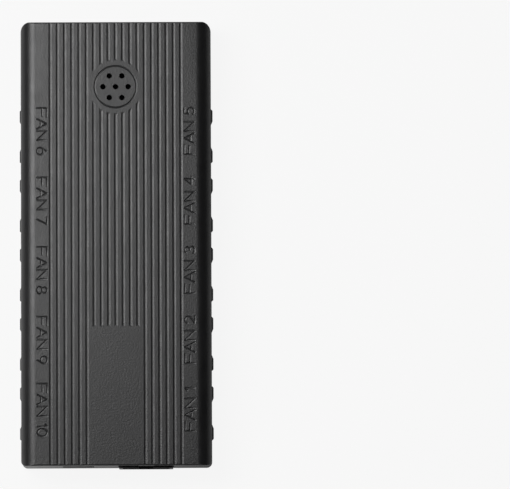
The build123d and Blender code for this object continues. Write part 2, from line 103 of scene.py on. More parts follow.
print("black plastic in linear light:", [round(share, 4) for share in linear("#1b1b1c")[:3]])

# %% [markdown]
# ## A finish to start from
# Every finish here is one Principled shader. What is the same all over the surface, such as its index of
# refraction, is set on the shader itself. What varies over the surface comes from noise on Object coordinates,
# which are the real positions in metres, so a grain of 0.3 mm is written as 0.3 mm and stays that size on every
# piece. Three patterns are enough for most finishes: a slow drift of the colour, a drift of the gloss, and a
# fine bump.


# %% One finish from real sizes
def finish(name, dark, pale, drift_mm, gloss, gloss_mm, grain_mm, relief_mm, stretch=(1, 1, 1), **constants):
    """A finish whose colour drifts from dark to pale and its roughness over gloss, with a fine grain in relief."""
    material = bpy.data.materials.new(name)
    material.use_nodes = True
    tree = material.node_tree
    tree.nodes.clear()
    place = add(tree, "ShaderNodeTexCoord").outputs["Object"]
    place = add(tree, "ShaderNodeMapping", {"Vector": place, "Scale": stretch}).outputs["Vector"]
    drift = add(tree, "ShaderNodeTexNoise", {"Vector": place, "Scale": 1000 / drift_mm, "Detail": 3.0})
    colour = add(tree, "ShaderNodeValToRGB", {"Fac": drift.outputs["Fac"]})
    colour.color_ramp.elements[0].position = 0.32
    colour.color_ramp.elements[0].color = linear(dark)
    colour.color_ramp.elements[1].position = 0.68
    colour.color_ramp.elements[1].color = linear(pale)
    sheen = add(tree, "ShaderNodeTexNoise", {"Vector": place, "Scale": 1000 / gloss_mm, "Detail": 2.0})
    rough = add(
        tree,
        "ShaderNodeMapRange",
        {"Value": sheen.outputs["Fac"], "From Min": 0.3, "From Max": 0.7, "To Min": gloss[0], "To Max": gloss[1]},
    )
    grain = add(tree, "ShaderNodeTexNoise", {"Vector": place, "Scale": 1000 / grain_mm, "Detail": 2.0})
    relief = add(
        tree, "ShaderNodeBump", {"Height": grain.outputs["Fac"], "Strength": 1.0, "Distance": relief_mm * MM}
    )
    shader = add(
        tree,
        "ShaderNodeBsdfPrincipled",
        {
            "Base Color": colour.outputs["Color"],
            "Roughness": rough.outputs["Result"],
            "Normal": relief.outputs["Normal"],
            **constants,
        },
    )
    add(tree, "ShaderNodeOutputMaterial", {"Surface": shader.outputs["BSDF"]})
    return material


# %% [markdown]
# ## Plastics
# The two covers are moulded ABS, from a mould that was spark-eroded to a fine matt texture. The eye sees an
# almost black colour, a soft wide highlight, and a very faint mottle. The true texture is about 0.1 mm, too fine
# for this picture, so it is drawn between four and five times as coarse. The headers and sockets are glass-filled
# nylon, a little glossier, with streaks where the fibres followed the flow of the melt. The sounder is given
# painted shade: a near-black, dull colour with almost no highlight, so the grille holes over it read black.
# Chips are moulded in dull epoxy.

# %% Plastics
spark_textured_abs = finish(
    "spark_textured_abs", "#121213", "#171718", 14, (0.36, 0.42), 3.0, 0.45, 0.036, IOR=1.54
)
glass_filled_nylon = finish(
    "glass_filled_nylon", "#121213", "#1a1a1b", 5, (0.30, 0.42), 1.6, 0.25, 0.006, stretch=(1, 1, 0.4), IOR=1.53
)
# painted shade: the sounder is coloured near black, with little highlight, so the grille holes over it read dark
sounder_painted_shade = finish(
    "sounder_painted_shade", "#060606", "#0b0b0b", 4, (0.8, 0.9), 2.0, 0.3, 0.004, **{"Specular IOR Level": 0.1}
)
chip_epoxy = finish("chip_epoxy", "#1c1c1d", "#242425", 1.5, (0.55, 0.7), 0.8, 0.12, 0.006, IOR=1.55)
fuse_polymer = finish("fuse_polymer", "#1f4a33", "#29583e", 1.2, (0.4, 0.55), 0.8, 0.2, 0.004, IOR=1.5)
plastics = (spark_textured_abs, glass_filled_nylon, sounder_painted_shade, chip_epoxy, fuse_polymer)
print("plastics:", [plastic.name for plastic in plastics])

# %% [markdown]
# ## Metals, ferrite and board
# The pins are brass under a thin layer of tin, which is bright but slightly clouded. The cover screws are steel
# with a black zinc coat. The can of the crystal is drawn steel and those of the capacitors are aluminium: both
# carry fine lines from the drawing, so their noise is stretched along the height. The inductor is pressed
# ferrite powder, dull and speckled. The board is woven glass under green solder mask, a glossy lacquer.

# %% Metals, ferrite and board
tinned_brass = finish("tinned_brass", "#b9b29c", "#d3ccb8", 0.9, (0.18, 0.34), 0.5, 0.15, 0.003, Metallic=1.0)
black_zinc_steel = finish(
    "black_zinc_steel", "#2c2c2f", "#3b3b3f", 0.8, (0.32, 0.48), 0.5, 0.12, 0.003, Metallic=1.0
)
drawn_steel = finish(
    "drawn_steel", "#a9abad", "#bfc1c3", 1.5, (0.22, 0.36), 0.6, 0.1, 0.003, stretch=(1, 1, 0.08), Metallic=1.0
)
drawn_aluminium = finish(
    "drawn_aluminium", "#bcbec1", "#d2d4d6", 2.0, (0.2, 0.34), 0.6, 0.1, 0.003, stretch=(1, 1, 0.08), Metallic=1.0
)
pressed_ferrite = finish("pressed_ferrite", "#38383a", "#4a4a4c", 0.4, (0.6, 0.8), 0.5, 0.15, 0.01, IOR=1.6)
green_solder_mask = finish(
    "green_solder_mask", "#12402a", "#1a5236", 1.1, (0.2, 0.3), 2.0, 0.5, 0.006, IOR=1.55
)
print("metals and board:", [m.name for m in (tinned_brass, black_zinc_steel, drawn_steel, drawn_aluminium)])

# %% [markdown]
# ## Dress the CAD nodes
# The record names a material slot for each node, which says what the piece is made of. Each slot has one finish
# here, so a node finds its finish through its slot. Only the sounder has a finish of its own, a painted shade. It
# is all that shows through the holes of the grille, and it is coloured near black so that the holes look black. A
# CAD node's mesh is left as it is: only its material is changed.

# %% Give each node the finish of its slot
slot_finish = {
    "black_abs": spark_textured_abs,
    "black_nylon": glass_filled_nylon,
    "board_laminate": green_solder_mask,
    "tinned_brass": tinned_brass,
    "black_steel": black_zinc_steel,
    "chip_mould": chip_epoxy,
    "steel_can": drawn_steel,
    "aluminium_can": drawn_aluminium,
    "ferrite": pressed_ferrite,
    "fuse_polymer": fuse_polymer,
}
node_slot = {row["node"]: row["material_slot"] for row in frame["record"]["subparts"]}
for name, node in nodes.items():
    node.data.materials.clear()
    # the sounder gets the painted shade, so the grille holes over it read black
    node.data.materials.append(slot_finish[node_slot[name]] if name != "buzzer" else sounder_painted_shade)
print("nodes dressed:", len(nodes), "with", len(set(node_slot.values())), "finishes")

# %% [markdown]
# ## A copy that can be worked on
# A CAD mesh is loose triangles. A boolean cut or a bevel needs a closed skin, so a copy is merged by distance,
# and triangles that lie in one plane are joined into whole faces. The copy then stands for its CAD node, which
# is hidden. Edges sharper than 18 degrees stay crisp, and rounder ones are shaded smooth, which keeps the
# rounded long edges round.


# %% Closed copies of CAD nodes
def closed_copy(node_name, piece_name):
    """A merged copy of a CAD node's mesh, as a new object in the same place."""
    mesh = bpy.data.meshes.new(piece_name)
    skin = bmesh.new()
    skin.from_mesh(nodes[node_name].data)
    bmesh.ops.remove_doubles(skin, verts=skin.verts, dist=0.002 * MM)
    bmesh.ops.dissolve_limit(skin, angle_limit=math.radians(0.2), verts=skin.verts, edges=skin.edges)
    skin.to_mesh(mesh)
    skin.free()
    if "custom_normal" in mesh.attributes:
        mesh.attributes.remove(mesh.attributes["custom_normal"])
    piece = bpy.data.objects.new(piece_name, mesh)
    bpy.context.scene.collection.objects.link(piece)
    mesh.materials.clear()
    mesh.materials.append(slot_finish[node_slot[node_name]])
    return piece


def shade(mesh, crisp_from=18):
    """Smooth shading, with every edge sharper than the given angle kept crisp."""
    mesh.polygons.foreach_set("use_smooth", [True] * len(mesh.polygons))
    mesh.set_sharp_from_angle(angle=math.radians(crisp_from))


def settle(piece):
    """Replace a piece's mesh with what its modifiers make of it, and remove them."""
    evaluated = piece.evaluated_get(bpy.context.evaluated_depsgraph_get())
    piece.data = bpy.data.meshes.new_from_object(evaluated)
    piece.modifiers.clear()
    return piece


def stand_in(piece, *node_names):
    """Show a piece in place of these CAD nodes, riding on the hub."""
    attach(piece, "root")
    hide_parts(*node_names)


# %% [markdown]
# ## Geometry Nodes from Python
# What repeats on the hub is made with Geometry Nodes: a tree is drawn once, with named inputs for its sizes, and
# run as often as needed. The tree hangs on an empty carrier object through a modifier. Its inputs are set by the
# sockets' identifiers, and the evaluated result is kept as a plain mesh, so nothing live is left behind.


# %% Build and run trees
def new_tree(name, inputs):
    """An empty tree with these named inputs and one geometry output, and the outputs of its first node."""
    tree = bpy.data.node_groups.new(name, "GeometryNodeTree")
    for label, kind in inputs.items():
        tree.interface.new_socket(label, in_out="INPUT", socket_type="NodeSocket" + kind)
    tree.interface.new_socket("Geometry", in_out="OUTPUT", socket_type="NodeSocketGeometry")
    return tree, add(tree, "NodeGroupInput").outputs


def run_tree(tree, piece_name, values, start=None):
    """Run a tree with these values for its inputs, on a start mesh or none, and keep the result as a plain mesh."""
    piece = bpy.data.objects.new(piece_name, start or bpy.data.meshes.new(piece_name))
    bpy.context.scene.collection.objects.link(piece)
    modifier = piece.modifiers.new("shape", "NODES")
    modifier.node_group = tree
    identifiers = {item.name: item.identifier for item in tree.interface.items_tree if item.in_out == "INPUT"}
    for label, value in values.items():
        modifier[identifiers[label]] = value
    return settle(piece)


# %% [markdown]
# ## Port numbers
# Each port's number is engraved in the cover beside it. An engraver's cutter is a cone, and its tip follows the
# middle line of each stroke, so a stroke is a shallow V with round ends: one wall catches the light, the other
# stays dark. A typeface has outlines, not middle lines, so a plain alphabet of single strokes is written down
# here, on a square one unit high. Straight strokes are pairs of points, and round ones are arcs of an ellipse.


# %% A plain alphabet of single strokes
def arc(x, y, half_width, half_height, first, last):
    """Points along an arc of an ellipse about x, y, between two angles in degrees."""
    count = max(2, round(abs(last - first) / 20))
    angles = [math.radians(first + (last - first) * step / count) for step in range(count + 1)]
    return [(x + half_width * math.cos(angle), y + half_height * math.sin(angle)) for angle in angles]


six = [[(0.37, 1), (0.07, 0.48)], arc(0.38, 0.32, 0.36, 0.32, 150, 510)]
strokes_of = {
    "F": [[(0, 0), (0, 1)], [(0, 1), (0.9, 1)], [(0, 0.52), (0.8, 0.52)]],
    "A": [[(0, 0), (0.5, 1)], [(0.5, 1), (1, 0)], [(0.19, 0.37), (0.81, 0.37)]],
    "N": [[(0, 0), (0, 1)], [(0, 1), (0.95, 0)], [(0.95, 0), (0.95, 1)]],
    "0": [arc(0.38, 0.5, 0.38, 0.5, 90, 450)],
    "1": [[(0.1, 0.8), (0.34, 1)], [(0.34, 1), (0.34, 0)]],
    "2": [arc(0.38, 0.66, 0.34, 0.34, 165, -40) + [(0.03, 0)], [(0.03, 0), (0.76, 0)]],
    "3": [arc(0.36, 0.74, 0.29, 0.26, 155, -90), arc(0.36, 0.24, 0.36, 0.24, 90, -155)],
    "4": [[(0.58, 0), (0.58, 1)], [(0.58, 1), (0, 0.28)], [(0, 0.28), (0.8, 0.28)]],
    "5": [[(0.7, 1), (0.15, 1)], [(0.15, 1), (0.09, 0.53)], arc(0.36, 0.32, 0.36, 0.32, 140, -150)],
    "6": six,
    "7": [[(0.02, 1), (0.74, 1)], [(0.74, 1), (0.26, 0)]],
    "8": [arc(0.38, 0.75, 0.29, 0.25, 270, 630), arc(0.38, 0.25, 0.37, 0.25, 90, 450)],
    "9": [[(0.76 - x, 1 - y) for x, y in stroke] for stroke in six],
    " ": [],
}
print("letters and digits:", len(strokes_of))

# %% [markdown]
# ## Write the labels
# Ports 1 to 5 read upwards along the right-hand side and 6 to 10 downwards along the left, each label a little
# beyond the middle of its own port. The places come from the boxes of the CAD headers. The strokes of all ten
# labels go into one mesh of loose edges.

# %% Place the strokes of all ten labels
cap_height = 2.65 * MM
letter_gap = 0.22
word_gap = 0.52
column = 19.9 * MM
label_lead = 0.5 * MM
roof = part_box("top_cover")[1].z
points, edges = [], []
for port in range(1, 11):
    low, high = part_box(f"fan_header_{port}")
    on_right = low.x > 0
    written, pen = [], 0.0
    for letter in f"FAN {port}":
        strokes = strokes_of[letter]
        written += [[(pen + x, y - 0.5) for x, y in stroke] for stroke in strokes]
        pen += max((x for stroke in strokes for x, y in stroke), default=word_gap - letter_gap) + letter_gap
    middle = (pen - letter_gap) / 2
    turn = Matrix.Rotation(math.radians(90 if on_right else -90), 3, "Z")
    place = Vector((column if on_right else -column, (low.y + high.y) / 2 + label_lead, roof))
    for stroke in written:
        edges += [(len(points) + step, len(points) + step + 1) for step in range(len(stroke) - 1)]
        points += [place + turn @ Vector(((x - middle) * cap_height, y * cap_height, 0)) for x, y in stroke]
stroke_lines = bpy.data.meshes.new("label_strokes")
stroke_lines.from_pydata(points, edges, [])
print("label strokes:", len(edges), "edges")

# %% [markdown]
# ## Engrave along the strokes
# The tree sweeps a V along every stroke and sets a cone at every end of one, as the turning cutter would leave
# them. Both are drawn a little past the surface, so that the cut is clean. The V is wider than it is deep: its
# walls lean like those of the long grooves, and so they take the light alike.

# %% The tree of an engraver's cutter
cutter_tree, given = new_tree(
    "engraver_cutter",
    {"Strokes": "Geometry", "Depth": "Float", "Rise": "Float", "Spread": "Float", "Finish": "Material"},
)
line = add(cutter_tree, "GeometryNodeMeshToCurve", {0: given["Strokes"]}).outputs[0]
line = add(cutter_tree, "GeometryNodeSetCurveNormal", {0: line}, mode="Z_UP").outputs[0]
tall = add(cutter_tree, "ShaderNodeMath", {0: given["Depth"], 1: given["Rise"]}, operation="ADD").outputs[0]
wide = add(cutter_tree, "ShaderNodeMath", {0: tall, 1: given["Spread"]}, operation="MULTIPLY").outputs[0]
narrow = add(cutter_tree, "ShaderNodeMath", {0: wide, 1: -1.0}, operation="MULTIPLY").outputs[0]
sunk = add(cutter_tree, "ShaderNodeMath", {0: given["Depth"], 1: -1.0}, operation="MULTIPLY").outputs[0]
raised = add(cutter_tree, "ShaderNodeMath", {0: given["Rise"], 1: -1.0}, operation="MULTIPLY").outputs[0]
# on a level path, the Y of a swept section points down
tip = add(cutter_tree, "ShaderNodeCombineXYZ", {"Y": given["Depth"]}).outputs[0]
left = add(cutter_tree, "ShaderNodeCombineXYZ", {"X": narrow, "Y": raised}).outputs[0]
right = add(cutter_tree, "ShaderNodeCombineXYZ", {"X": wide, "Y": raised}).outputs[0]
above = add(cutter_tree, "ShaderNodeCombineXYZ", {"Y": raised}).outputs[0]
vee = add(
    cutter_tree,
    "GeometryNodeCurvePrimitiveQuadrilateral",
    {"Point 1": tip, "Point 2": left, "Point 3": above, "Point 4": right},
    mode="POINTS",
).outputs[0]
swept = add(
    cutter_tree, "GeometryNodeCurveToMesh", {"Curve": line, "Profile Curve": vee, "Fill Caps": True}
).outputs[0]
cone = add(
    cutter_tree,
    "GeometryNodeMeshCone",
    {"Vertices": 16, "Radius Top": wide, "Radius Bottom": 0.0, "Depth": tall},
).outputs["Mesh"]
lower = add(cutter_tree, "ShaderNodeCombineXYZ", {"Z": sunk}).outputs[0]
cone = add(cutter_tree, "GeometryNodeTransform", {"Geometry": cone, "Translation": lower}).outputs[0]
ends = add(cutter_tree, "GeometryNodeCurveEndpointSelection", {"Start Size": 1, "End Size": 1}).outputs[0]
cones = add(
    cutter_tree, "GeometryNodeInstanceOnPoints", {"Points": line, "Selection": ends, "Instance": cone}
).outputs[0]
cuts = add(cutter_tree, "GeometryNodeJoinGeometry")
cutter_tree.links.new(swept, cuts.inputs[0])
cutter_tree.links.new(cones, cuts.inputs[0])
cuts = add(cutter_tree, "GeometryNodeRealizeInstances", {0: cuts.outputs[0]}).outputs[0]
cuts = add(cutter_tree, "GeometryNodeSetMaterial", {"Geometry": cuts, "Material": given["Finish"]}).outputs[0]
add(cutter_tree, "NodeGroupOutput", {0: cuts})
label_cutters = run_tree(
    cutter_tree,
    "label_cutters",
    {"Depth": 0.095 * MM, "Rise": 0.06 * MM, "Spread": 3.15, "Finish": spark_textured_abs},
    stroke_lines,
)
print("label cutters:", len(label_cutters.data.polygons), "faces")

# %% [markdown]
# ## Parting line
# Where two mouldings meet, their rims are never quite square, and the eye sees a fine dark line all round. The CAD
# covers meet flush, so each outer rim gets a narrow bevel here, and the two make a shallow V. A rim edge is found
# by what it is: level with the joint, convex, and the edge of an upright face that looks outwards.


# %% Bevel the rims that meet
def bevel_rim(piece, level, width):
    """Bevel the outer edge of a cover at the level where it meets the other cover."""
    same_level = 0.01 * MM
    outer_band = 3.5 * MM
    least_outwards = 0.2 * MM
    skin = bmesh.new()
    skin.from_mesh(piece.data)
    rim = []
    for edge in skin.edges:
        if edge.is_convex and all(abs(end.co.z - level) < same_level for end in edge.verts):
            middle = (edge.verts[0].co + edge.verts[1].co) / 2
            outwards = Vector((0, 0, 0))
            if abs(middle.x) > cad_high.x - outer_band:
                outwards.x = middle.x
            if abs(middle.y) > cad_high.y - outer_band:
                outwards.y = middle.y
            upright = [face.normal for face in edge.link_faces if abs(face.normal.z) < 0.1]
            if any(normal @ outwards > least_outwards for normal in upright):
                rim.append(edge)
    bmesh.ops.bevel(skin, geom=rim, offset=width, segments=1, profile=0.5, affect="EDGES", clamp_overlap=True)
    skin.to_mesh(piece.data)
    skin.free()
    print(piece.name, "rim edges:", len(rim))


joint_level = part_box("top_cover")[0].z
rim_bevel = 0.14 * MM
bottom_cover = closed_copy("bottom_cover", "bevelled_bottom_cover")
bevel_rim(bottom_cover, joint_level, rim_bevel)
shade(bottom_cover.data)
stand_in(bottom_cover, "bottom_cover")

# %% [markdown]
# ## Top cover
# The cover keeps its CAD form to the last groove. A boolean with the exact solver sinks the labels into it, and
# then the cutters have done their work and are removed.

# %% Sink the labels into the cover
top_cover = closed_copy("top_cover", "engraved_top_cover")
bevel_rim(top_cover, joint_level, rim_bevel)
cut = top_cover.modifiers.new("labels", "BOOLEAN")
cut.operation = "DIFFERENCE"
cut.solver = "EXACT"
cut.use_self = True
cut.object = label_cutters
settle(top_cover)
bpy.data.objects.remove(label_cutters)
shade(top_cover.data)
long_edge_radius = 4.0 * MM
flat_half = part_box("top_cover")[1].x - long_edge_radius
engraving_below = 1.0 * MM
engraving_crease = math.radians(9)
skin = bmesh.new()
skin.from_mesh(top_cover.data)
for edge in skin.edges:
    on_flat = all(end.co.z > roof - engraving_below and abs(end.co.x) < flat_half for end in edge.verts)
    if on_flat and edge.calc_face_angle(0.0) > engraving_crease:
        edge.smooth = False
skin.to_mesh(top_cover.data)
skin.free()
stand_in(top_cover, "top_cover")
print("top cover:", len(top_cover.data.polygons), "faces")

# %% [markdown]
# ## Headers and sockets
# Moulded nylon never has knife edges. Each header and socket is a closed copy of its CAD node with a narrow
# Bevel, which gives every edge a thin line of light.

# %% Soften the moulded edges
for name in sorted(nodes):
    if name.startswith("fan_header_") or name in ("power_socket", "sync_socket"):
        moulding = closed_copy(name, "moulded_" + name)
        soft = moulding.modifiers.new("edges", "BEVEL")
        soft.width = 0.1 * MM
        soft.segments = 2
        soft.limit_method = "ANGLE"
        soft.angle_limit = math.radians(40)
        settle(moulding)
        shade(moulding.data, 40)
        stand_in(moulding, name)

# %% [markdown]
# ## Pins
# A contact pin is square wire, cut to a blunt point at both ends and bent once. The tree draws that path as a
# curve, rounds its corner, sweeps a square along it that shrinks at the two ends, and repeats the pin along the
# row. Every row on the hub, for the fans, the power and the sync lead, is this one tree with other numbers.

# %% The tree of a pin row
pin_tree, given = new_tree(
    "bent_pin_row",
    {
        "Count": "Int",
        "Pitch": "Float",
        "Side": "Float",
        "Tip": "Float",
        "Level": "Float",
        "Tail": "Float",
        "Point length": "Float",
        "Bend radius": "Float",
        "Place": "Vector",
        "Turn": "Float",
        "Finish": "Material",
    },
)
tail_shoulder = add(pin_tree, "ShaderNodeMath", {0: given["Tail"], 1: given["Point length"]}).outputs[0]
tip_shoulder = add(
    pin_tree, "ShaderNodeMath", {0: given["Tip"], 1: given["Point length"]}, operation="SUBTRACT"
).outputs[0]
corners = add(pin_tree, "GeometryNodeIndexSwitch", data_type="VECTOR")
for extra in range(3):
    corners.index_switch_items.new()
pin_tree.links.new(add(pin_tree, "GeometryNodeInputIndex").outputs[0], corners.inputs["Index"])
route = [
    {"Z": given["Tail"]},
    {"Z": tail_shoulder},
    {"Z": given["Level"]},
    {"X": tip_shoulder, "Z": given["Level"]},
    {"X": given["Tip"], "Z": given["Level"]},
]
for spot_number, spot in enumerate(route):
    pin_tree.links.new(add(pin_tree, "ShaderNodeCombineXYZ", spot).outputs[0], corners.inputs[1 + spot_number])
wire = add(pin_tree, "GeometryNodeMeshLine", {"Count": len(route)}).outputs[0]
wire = add(pin_tree, "GeometryNodeSetPosition", {"Geometry": wire, "Position": corners.outputs[0]}).outputs[0]
wire = add(pin_tree, "GeometryNodeMeshToCurve", {0: wire}).outputs[0]
ends = add(pin_tree, "GeometryNodeCurveEndpointSelection", {"Start Size": 1, "End Size": 1}).outputs[0]
wire = add(
    pin_tree, "GeometryNodeFilletCurve", {"Curve": wire, "Count": 5, "Radius": given["Bend radius"]}, mode="POLY"
).outputs[0]
square = add(
    pin_tree, "GeometryNodeCurvePrimitiveQuadrilateral", {"Width": given["Side"], "Height": given["Side"]}
).outputs[0]
narrow = add(pin_tree, "GeometryNodeSwitch", {"Switch": ends, "False": 1.0, "True": 0.5}, input_type="FLOAT")
pin = add(
    pin_tree,
    "GeometryNodeCurveToMesh",
    {"Curve": wire, "Profile Curve": square, "Scale": narrow.outputs[0], "Fill Caps": True},
).outputs[0]
print("pin path:", len(route), "points")

# %% Repeat the pin along its row
gaps = add(pin_tree, "ShaderNodeMath", {0: given["Count"], 1: 1.0}, operation="SUBTRACT").outputs[0]
length = add(pin_tree, "ShaderNodeMath", {0: gaps, 1: given["Pitch"]}, operation="MULTIPLY").outputs[0]
start = add(pin_tree, "ShaderNodeMath", {0: length, 1: -0.5}, operation="MULTIPLY").outputs[0]
start = add(pin_tree, "ShaderNodeCombineXYZ", {"Y": start}).outputs[0]
hop = add(pin_tree, "ShaderNodeCombineXYZ", {"Y": given["Pitch"]}).outputs[0]
row = add(
    pin_tree, "GeometryNodeMeshLine", {"Count": given["Count"], "Start Location": start, "Offset": hop}
).outputs[0]
row = add(pin_tree, "GeometryNodeInstanceOnPoints", {"Points": row, "Instance": pin}).outputs[0]
row = add(pin_tree, "GeometryNodeRealizeInstances", {0: row}).outputs[0]
quarter = add(pin_tree, "ShaderNodeCombineXYZ", {"Z": given["Turn"]}).outputs[0]
row = add(
    pin_tree, "GeometryNodeTransform", {"Geometry": row, "Translation": given["Place"], "Rotation": quarter}
).outputs[0]
row = add(pin_tree, "GeometryNodeSetMaterial", {"Geometry": row, "Material": given["Finish"]}).outputs[0]
add(pin_tree, "NodeGroupOutput", {0: row})
print("pin tree:", len(pin_tree.nodes), "nodes")

# %% Make every row from the box of its CAD pins
pin_kinds = {f"fan_pins_{number}": (6, 0.64) for number in range(1, 11)}
pin_kinds["power_pins"] = (4, 1.0)
pin_kinds["sync_pins"] = (3, 0.5)
for name, (count, side_mm) in pin_kinds.items():
    low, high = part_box(name)
    thick = side_mm * MM
    outward = Vector((0, -1)) if name in ("power_pins", "sync_pins") else Vector((math.copysign(1, low.x), 0))
    across = Vector((-outward.y, outward.x))
    middle = Vector(((low.x + high.x) / 2, (low.y + high.y) / 2))
    size = Vector((high.x - low.x, high.y - low.y))
    reach = abs(size @ outward)
    upright = middle - outward * (reach / 2 - thick / 2)
    row = run_tree(
        pin_tree,
        "bent_" + name,
        {
            "Count": count,
            "Pitch": (abs(size @ across) - thick) / (count - 1),
            "Side": thick,
            "Tip": reach - thick / 2,
            "Level": high.z - thick / 2,
            "Tail": low.z,
            "Point length": 0.6 * thick,
            "Bend radius": 0.8 * thick,
            "Place": (upright.x, upright.y, 0),
            "Turn": math.atan2(outward.y, outward.x),
            "Finish": tinned_brass,
        },
    )
    stand_in(row, name)
print("pin rows:", len(pin_kinds))

# %% [markdown]
# ## Cover screws
# The two screws under the hub are turned shapes, so half a section is spun round the axis. A small cross-shaped
# punch sinks the recess for the screwdriver. A tree then sets one screw on each of the two places.

# %% One screw
screw_low, screw_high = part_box("cover_screws")
head_radius = (screw_high.y - screw_low.y) / 2
head_height = 1.6 * MM
core_radius = 1.0 * MM
shank_length = screw_high.z - screw_low.z
half_section = [
    (0, 0.0),
    (head_radius * 0.55, 0.02 * MM),
    (head_radius * 0.82, 0.1 * MM),
    (head_radius * 0.96, 0.28 * MM),
    (head_radius, 0.5 * MM),
    (head_radius, head_height),
    (core_radius, head_height),
    (core_radius, shank_length - 1.2 * MM),
    (0.25 * MM, shank_length),
    (0, shank_length),
]
turned = bmesh.new()
ring = [turned.verts.new((radius, 0, height)) for radius, height in half_section]
edges = [turned.edges.new(pair) for pair in zip(ring, ring[1:])]
bmesh.ops.spin(turned, geom=ring + edges, angle=math.tau, steps=40, axis=(0, 0, 1), cent=(0, 0, 0))
bmesh.ops.remove_doubles(turned, verts=turned.verts, dist=0.002 * MM)
bmesh.ops.recalc_face_normals(turned, faces=turned.faces)
screw = bpy.data.objects.new("turned_screw", bpy.data.meshes.new("turned_screw"))
turned.to_mesh(screw.data)
turned.free()
bpy.context.scene.collection.objects.link(screw)
print("screw:", len(screw.data.polygons), "faces")

# %% Punch the cross recess
punch_mesh = bmesh.new()
arm, waist, deep = 1.25 * MM, 0.3 * MM, 1.0 * MM
cross = [
    (arm, -waist), (arm, waist), (waist, waist), (waist, arm), (-waist, arm), (-waist, waist),
    (-arm, waist), (-arm, -waist), (-waist, -waist), (-waist, -arm), (waist, -arm), (waist, -waist),
]
mouth = [punch_mesh.verts.new((x, y, -0.3 * MM)) for x, y in cross]
floor_ring = [punch_mesh.verts.new((x * 0.55, y * 0.55, deep)) for x, y in cross]
punch_mesh.faces.new(mouth)
punch_mesh.faces.new(list(reversed(floor_ring)))
for number in range(len(cross)):
    following = (number + 1) % len(cross)
    punch_mesh.faces.new([mouth[number], floor_ring[number], floor_ring[following], mouth[following]])
bmesh.ops.recalc_face_normals(punch_mesh, faces=punch_mesh.faces)
punch = bpy.data.objects.new("cross_punch", bpy.data.meshes.new("cross_punch"))
punch_mesh.to_mesh(punch.data)
punch_mesh.free()
bpy.context.scene.collection.objects.link(punch)
sink = screw.modifiers.new("recess", "BOOLEAN")
sink.operation = "DIFFERENCE"
sink.solver = "EXACT"
sink.object = punch
settle(screw)
bpy.data.objects.remove(punch)
shade(screw.data, 32)
print("screw with recess:", len(screw.data.polygons), "faces")

# %% Set a screw on each place
screw_tree, given = new_tree(
    "screw_pair", {"Screw": "Object", "Spacing": "Float", "Place": "Vector", "Finish": "Material"}
)
half = add(screw_tree, "ShaderNodeMath", {0: given["Spacing"], 1: -0.5}, operation="MULTIPLY").outputs[0]
start = add(screw_tree, "ShaderNodeCombineXYZ", {"X": half}).outputs[0]
hop = add(screw_tree, "ShaderNodeCombineXYZ", {"X": given["Spacing"]}).outputs[0]
pair = add(screw_tree, "GeometryNodeMeshLine", {"Count": 2, "Start Location": start, "Offset": hop}).outputs[0]
model = add(screw_tree, "GeometryNodeObjectInfo", {"Object": given["Screw"]}).outputs["Geometry"]
pair = add(screw_tree, "GeometryNodeInstanceOnPoints", {"Points": pair, "Instance": model}).outputs[0]
pair = add(screw_tree, "GeometryNodeTransform", {"Geometry": pair, "Translation": given["Place"]}).outputs[0]
pair = add(screw_tree, "GeometryNodeRealizeInstances", {0: pair}).outputs[0]
pair = add(screw_tree, "GeometryNodeSetMaterial", {"Geometry": pair, "Material": given["Finish"]}).outputs[0]
add(screw_tree, "NodeGroupOutput", {0: pair})
screws = run_tree(
    screw_tree,
    "cross_recess_screws",
    {
        "Screw": screw,
        "Spacing": screw_high.x - screw_low.x - 2 * head_radius,
        "Place": (0, (screw_low.y + screw_high.y) / 2, screw_low.z),
        "Finish": black_zinc_steel,
    },
)
bpy.data.objects.remove(screw)
stand_in(screws, "cover_screws")
print("screws:", len(screws.data.polygons), "faces")

# %% [markdown]
# ## Floor
# The hub lies on white paper. The floor is diffuse and takes the hub's shadow. For the camera, and for
# reflections, part of it is replaced by plain white light, so that the paper reads as white at a lamp level
# that suits the hub. In reflections that white is painted light: it is strong on the left and fades towards the
# right, so the hub's sides mirror a paper that is brighter on the left. Seen from below it is clear, and rays
# that leave the underside of the hub pass through, so that the underside can be looked at too.

# %% White paper
paper = bpy.data.materials.new("white_paper")
paper.use_nodes = True
tree = paper.node_tree
tree.nodes.clear()
path = add(tree, "ShaderNodeLightPath").outputs
spot = add(tree, "ShaderNodeTexCoord").outputs["Object"]
fibre = add(tree, "ShaderNodeTexNoise", {"Vector": spot, "Scale": 900.0})
tint = add(tree, "ShaderNodeValToRGB", {"Fac": fibre.outputs["Fac"]})
tint.color_ramp.elements[0].color = linear("#bababa")
tint.color_ramp.elements[1].color = linear("#c2c2c2")
matt = add(tree, "ShaderNodeBsdfDiffuse", {"Color": tint.outputs["Color"]}).outputs[0]
glow = add(tree, "ShaderNodeEmission", {"Color": (1, 1, 1, 1), "Strength": 1.0}).outputs[0]
mirrored = add(
    tree, "ShaderNodeMath", {0: path["Is Glossy Ray"], 1: path["Is Transmission Ray"]}, operation="MAXIMUM"
)
